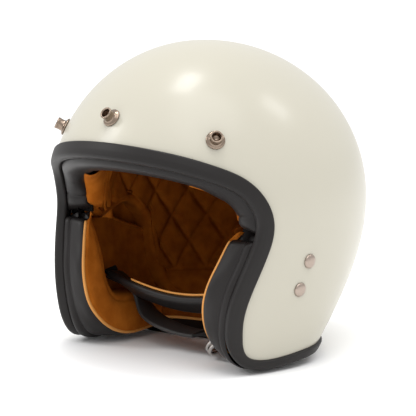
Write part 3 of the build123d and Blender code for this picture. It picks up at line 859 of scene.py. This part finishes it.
# throat strap, twisting as it leaves the right webbing
throatLine = spline([(-64, -31, 46), (-60, -31, 42.5), (-53.5, -31, 35), (-44.5, -34, 27.2),
                     (-30, -37.5, 21.8), (-10, -40, 18.6), (6, -40, 17.2), (20, -40, 17.6)], 130)
share = np.linspace(0, 1, len(throatLine))
twist = np.radians(-24 * (1 - smooth(share / 0.4)) + 3)
throat = ribbon("throatStrap", throatLine, strapSettings["throatWidth"], strapSettings["throatThick"],
                "chin_strap", strapLeather, twist, edge=0.14, across=24, crown=0.7)
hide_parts("throat_strap")
rightLine = spline([(-84.0, -40, 55.4), (-77, -36, 52), (-70, -32, 48.6), (-64, -31, 45)], 40)
rightWeb = ribbon("strapWebbingRight", rightLine, 17.0, webThick, "chin_strap", webbing, edge=webEdge)
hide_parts("strap_webbing_right")

# tail through the rings, and the left webbing with the loop that carries them
slope = math.radians(strapSettings["ringSlope"])
ringWay = np.array([-math.cos(slope), 0, -math.sin(slope)])
ringSide = np.array([math.sin(slope), 0, -math.cos(slope)])
bar = np.array([46.0, strapSettings["y"], 20.0])
through = bar + ringWay * 6.5
beyond = through + ringSide * 3.7
tailLine = atStrap([(14.4, 16.4), (24, 18.4), (33.5, 19.4), (through[0], through[2]),
                    (beyond[0], beyond[2]), (50, 7.6), (59, 5.2)], 90)
tail = ribbon("strapTail", tailLine, 19.0, webThick, "chin_strap", webbing, edge=webEdge)
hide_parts("strap_tail")

# the loop is a circle split at the sides and drawn apart, given a thickness and a width
bore, loopReach, loopHalf = (strapSettings[k] for k in ("loopBore", "loopReach", "loopHalf"))
loopCentre = bar + ringSide * loopReach
a = np.linspace(0, 2 * math.pi, 56, endpoint=False)
apart = np.where(np.cos(a) > 0, loopReach, -loopReach)
thick = np.array([bore, bore + 1.6, bore + 1.6, bore])
wide = np.array([-loopHalf, -loopHalf, loopHalf, loopHalf])
loopPoints = (loopCentre + ringSide * (np.cos(a)[:, None] * thick + apart[:, None])[..., None]
              + ringWay * (np.sin(a)[:, None] * thick)[..., None]
              + np.array([0, 1.0, 0]) * wide[None, :, None])
uv = np.stack(np.broadcast_arrays(a[:, None] * 3, wide[None]), -1) * mm
loopBand = grid("strapLoop", loopPoints, "chin_strap", webbing, True, True, uv=uv)
loopTop = loopCentre - ringWay * (bore + 0.8)
leftLine = atStrap([(84.0, 55.8), (72, 50.2), (62, 39), (55, 28.5), (loopTop[0], loopTop[2])], 80)
leftWeb = ribbon("strapWebbingLeft", leftLine, 20.0, webThick, "chin_strap", webbing, edge=webEdge)
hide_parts("strap_webbing_left")
print("strap made")

# floor, in metres
floorMaterial = finish("plain pale floor", "#FFFFFF", 0.9, specular=0.0)
floorMesh = bpy.data.meshes.new("floor")
floorMesh.from_pydata([(-50, -50, 0), (50, -50, 0), (50, 50, 0), (-50, 50, 0)], [], [(0, 1, 2, 3)])
floorMesh.materials.append(floorMaterial)
floor = bpy.data.objects.new("floor", floorMesh)
bpy.context.scene.collection.objects.link(floor)

# light: place, target and size in metres, power in watts
lightSettings = {"world": 0.9, "key": 1.1, "keyAngle": 45.0, "keyWay": (-0.35, 0.25, -0.9),
                 "boxes": {"overhead": ((-0.2, -0.05, 1.7), (0, 0, 0.2), (0.5, 0.3), 7),
                           "rearRight": ((0.75, 0.85, 1.35), (0, 0, 0.15), (0.3, 0.45), 3),
                           "frontLeft": ((-0.95, -0.95, 1.05), (0, -0.1, 0.18), (0.3, 0.45), 5)}}
bpy.context.scene.view_settings.view_transform = "Standard"
world = bpy.data.worlds.new("studio")
world.use_nodes = True
world.node_tree.nodes["Background"].inputs["Color"].default_value = (1, 1, 1, 1)
world.node_tree.nodes["Background"].inputs["Strength"].default_value = lightSettings["world"]
bpy.context.scene.world = world


def addLight(name, kind, energy, place, way):
    # one light that shines along way
    data = bpy.data.lights.new(name, kind)
    data.energy = energy
    light = bpy.data.objects.new(name, data)
    light.location = place
    light.rotation_euler = way.to_track_quat("-Z", "Y").to_euler()
    bpy.context.scene.collection.objects.link(light)
    return data


for name, (place, target, size, power) in lightSettings["boxes"].items():
    softbox = addLight(name, "AREA", power, place, Vector(target) - Vector(place))
    softbox.shape = "RECTANGLE"
    softbox.size, softbox.size_y = size
key = addLight("key", "SUN", lightSettings["key"], (0, 0, 0), Vector(lightSettings["keyWay"]))
key.angle = math.radians(lightSettings["keyAngle"])

# camera: distance, aim and width of view in metres
cameraSettings = {"azimuth": 41.36, "elevation": 7.51, "distance": 1.451969, "aim": (0, -0.0083, 0.1326),
                  "viewWidth": 0.34580216, "shift": (0.00077644, -0.04615144), "sensor": 36.0}
azimuth, elevation = (math.radians(cameraSettings[k]) for k in ("azimuth", "elevation"))
back = Vector((math.sin(azimuth) * math.cos(elevation), -math.cos(azimuth) * math.cos(elevation),
               math.sin(elevation)))
cameraData = bpy.data.cameras.new("camera")
cameraData.sensor_width = cameraSettings["sensor"]
cameraData.lens = cameraSettings["sensor"] * cameraSettings["distance"] / cameraSettings["viewWidth"]
cameraData.shift_x, cameraData.shift_y = cameraSettings["shift"]
camera = bpy.data.objects.new("camera", cameraData)
camera.location = Vector(cameraSettings["aim"]) + back * cameraSettings["distance"]
camera.rotation_euler = (-back).to_track_quat("-Z", "Y").to_euler()
bpy.context.scene.collection.objects.link(camera)
bpy.context.scene.camera = camera
